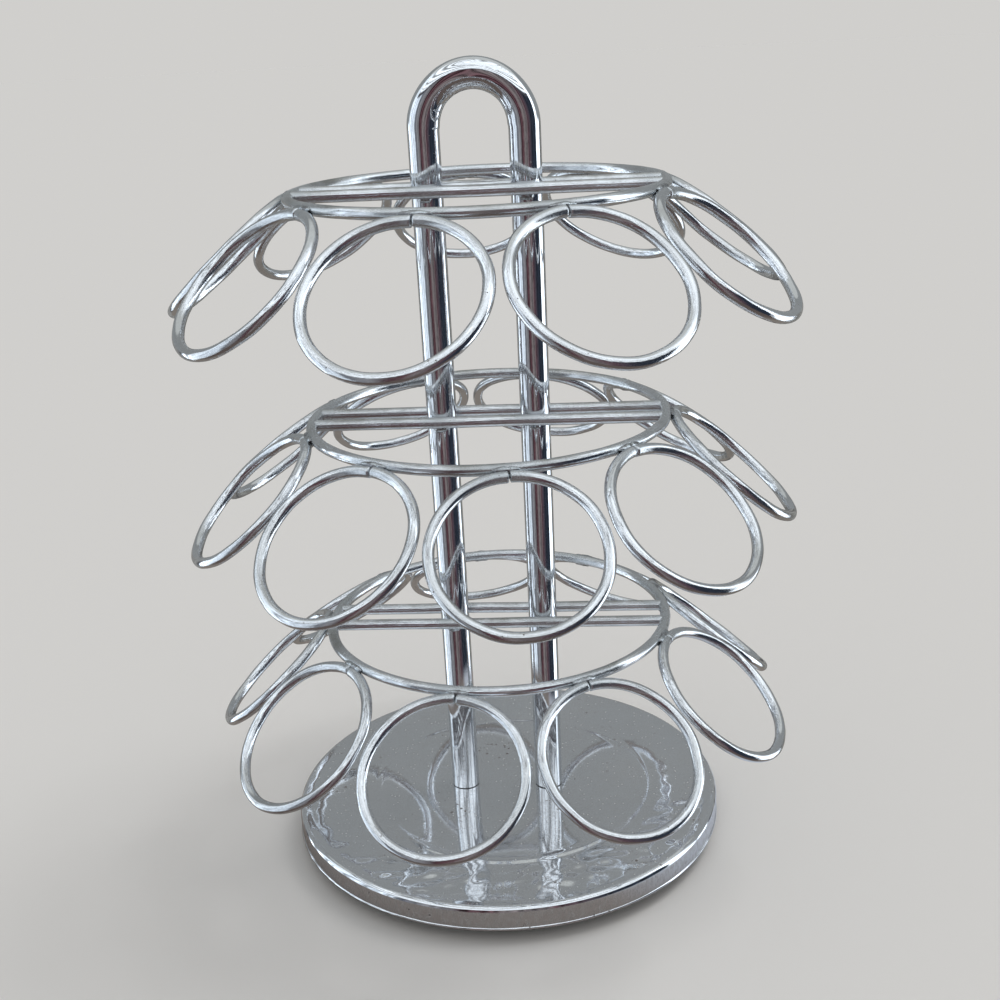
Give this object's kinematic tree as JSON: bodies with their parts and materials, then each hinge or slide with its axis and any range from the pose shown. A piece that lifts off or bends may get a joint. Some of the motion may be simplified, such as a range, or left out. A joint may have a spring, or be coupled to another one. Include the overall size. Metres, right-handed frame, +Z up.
{
  "type": "coffee pod carousel",
  "caption": "Chrome wire coffee pod carousel: tiers of sloping rings on a bent tube frame with a loop handle, on a round turntable base.",
  "frame": {"origin": "centre of the base, on the surface that it stands on", "axes": "+Z up along the turntable's axis, X along the cross bars from post to post, -Y the front"},
  "size_m": [0.205, 0.2035, 0.267],
  "materials": {
    "ring_wire": "bright chrome-plated wire, lightly dusty",
    "hoop_wire": "bright chrome-plated wire, dulled at the welds",
    "bar_wire": "bright chrome-plated wire, dusty on top",
    "post_tube": "bright chrome-plated tube",
    "pan_chrome": "bright chrome-plated pressing with dust, pits and fine scratches",
    "plated_steel": "zinc-plated steel",
    "ball_steel": "polished bearing steel",
    "black_plastic": "moulded black plastic",
    "race_plastic": "moulded black acetal",
    "cage_plastic": "natural nylon",
    "rubber": "soft black rubber"
  },
  "bodies": {
    "foot": {"foot_disc": "black_plastic", "rubber_feet": "rubber", "centre_rivet": "plated_steel", "rivet_washer": "plated_steel"},
    "cage": {"ball_cage": "cage_plastic", "bearing_balls": "ball_steel"},
    "carousel": {"turntable_pan": "pan_chrome", "upper_race_plate": "race_plastic", "post_frame": "post_tube", "tube_plugs": "plated_steel", "post_screws": "plated_steel", "screw_washers": "plated_steel", "lower_hoop": "hoop_wire", "middle_hoop": "hoop_wire", "top_hoop": "hoop_wire", "lower_front_bar": "bar_wire", "lower_back_bar": "bar_wire", "middle_front_bar": "bar_wire", "middle_back_bar": "bar_wire", "top_front_bar": "bar_wire", "top_back_bar": "bar_wire", "lower_ring_1": "ring_wire", "lower_ring_2": "ring_wire", "lower_ring_3": "ring_wire", "lower_ring_4": "ring_wire", "lower_ring_5": "ring_wire", "lower_ring_6": "ring_wire", "lower_ring_7": "ring_wire", "lower_ring_8": "ring_wire", "lower_ring_9": "ring_wire", "middle_ring_1": "ring_wire", "middle_ring_2": "ring_wire", "middle_ring_3": "ring_wire", "middle_ring_4": "ring_wire", "middle_ring_5": "ring_wire", "middle_ring_6": "ring_wire", "middle_ring_7": "ring_wire", "middle_ring_8": "ring_wire", "middle_ring_9": "ring_wire", "top_ring_1": "ring_wire", "top_ring_2": "ring_wire", "top_ring_3": "ring_wire", "top_ring_4": "ring_wire", "top_ring_5": "ring_wire", "top_ring_6": "ring_wire", "top_ring_7": "ring_wire", "top_ring_8": "ring_wire", "top_ring_9": "ring_wire"}
  },
  "joints": [
    {"name": "carousel_spin", "type": "hinge", "parent": "foot", "child": "carousel", "pos_m": [0, 0, 0.0135], "axis": [0, 0, 1], "continuous": true},
    {"name": "cage_spin", "type": "hinge", "parent": "foot", "child": "cage", "pos_m": [0, 0, 0.0082], "axis": [0, 0, 1], "continuous": true}
  ],
  "couplings": [
    {"joint": "cage_spin", "follows": "carousel_spin", "ratio": 0.5}
  ]
}
